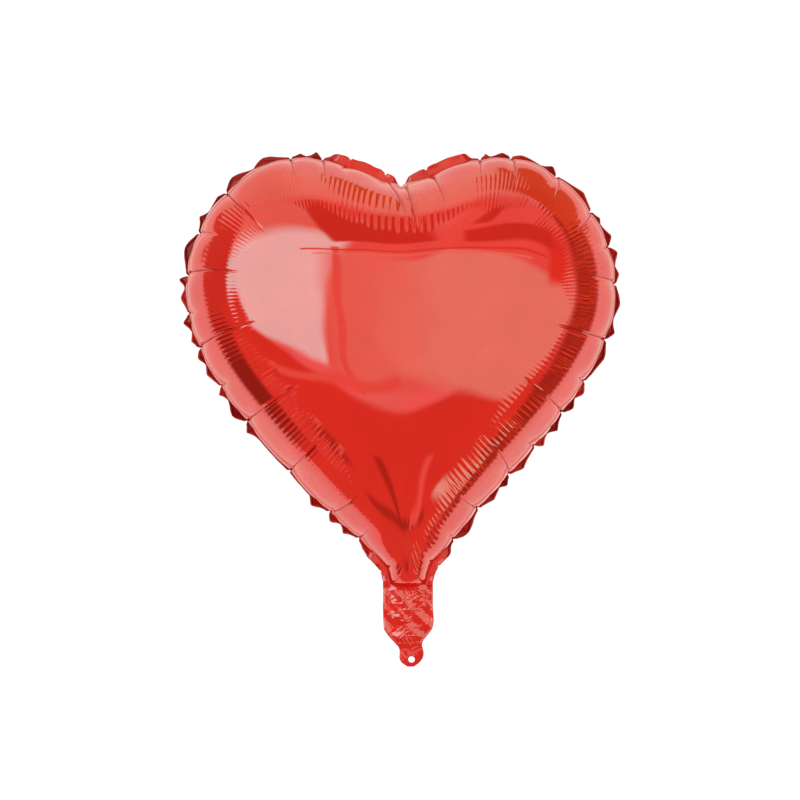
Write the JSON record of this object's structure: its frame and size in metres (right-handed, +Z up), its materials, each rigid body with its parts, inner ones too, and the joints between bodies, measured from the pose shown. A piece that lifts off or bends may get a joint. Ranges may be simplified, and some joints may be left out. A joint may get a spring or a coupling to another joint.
{
  "type": "heart-shaped foil balloon",
  "caption": "Inflated heart-shaped balloon of metallised film, with a crimped sealed margin, a flat neck with a self-sealing film valve, and a tail with a hanging hole.",
  "frame": {"origin": "the tie point in the middle of the neck, where a ribbon holds the balloon", "axes": "+Z up from the neck through the cleft of the heart, -Y towards the front panel, +X across the heart towards its right as seen from the front"},
  "size_m": [0.37, 0.176, 0.4327],
  "materials": {
    "foil": "mirror-bright red metallised film, finely rippled beside the seam",
    "seam": "two red films fused together, crumpled and a little duller",
    "valve_film": "clear polyethylene film"
  },
  "bodies": {
    "envelope": {"front_panel": "foil", "rear_panel": "foil", "seam_margin": "seam", "neck_fold": "foil"},
    "tail": {"tail_front_ply": "foil", "tail_rear_ply": "foil", "tail_side_seals": "seam", "valve_inlet_front": "valve_film", "valve_inlet_rear": "valve_film"},
    "tab_front": {"tab_front_ply": "foil"},
    "tab_rear": {"tab_rear_ply": "foil"},
    "valve_front": {"valve_flap_front": "valve_film"},
    "valve_rear": {"valve_flap_rear": "valve_film"}
  },
  "joints": [
    {"name": "tail_flex", "type": "hinge", "parent": "envelope", "child": "tail", "pos_m": [0, 0, 0], "axis": [1, 0, 0], "range_deg": [-90, 90], "stiffness_Nm_per_rad": 0.0002, "deforming": ["neck_fold"]},
    {"name": "tab_front_open", "type": "hinge", "parent": "tail", "child": "tab_front", "pos_m": [0, -0.0005, -0.0465], "axis": [-1, 0, 0], "range_deg": [0, 60], "stiffness_Nm_per_rad": 0.00001},
    {"name": "tab_rear_open", "type": "hinge", "parent": "tail", "child": "tab_rear", "pos_m": [0, 0.0005, -0.0465], "axis": [1, 0, 0], "range_deg": [0, 60], "stiffness_Nm_per_rad": 0.00001},
    {"name": "valve_front_open", "type": "hinge", "parent": "envelope", "child": "valve_front", "pos_m": [0, 0, 0.005], "axis": [1, 0, 0], "range_deg": [0, 5], "stiffness_Nm_per_rad": 0.0001},
    {"name": "valve_rear_open", "type": "hinge", "parent": "envelope", "child": "valve_rear", "pos_m": [0, 0, 0.005], "axis": [-1, 0, 0], "range_deg": [0, 5], "stiffness_Nm_per_rad": 0.0001}
  ],
  "couplings": [
    {"joint": "tab_rear_open", "follows": "tab_front_open", "ratio": 1},
    {"joint": "valve_rear_open", "follows": "valve_front_open", "ratio": 1}
  ]
}
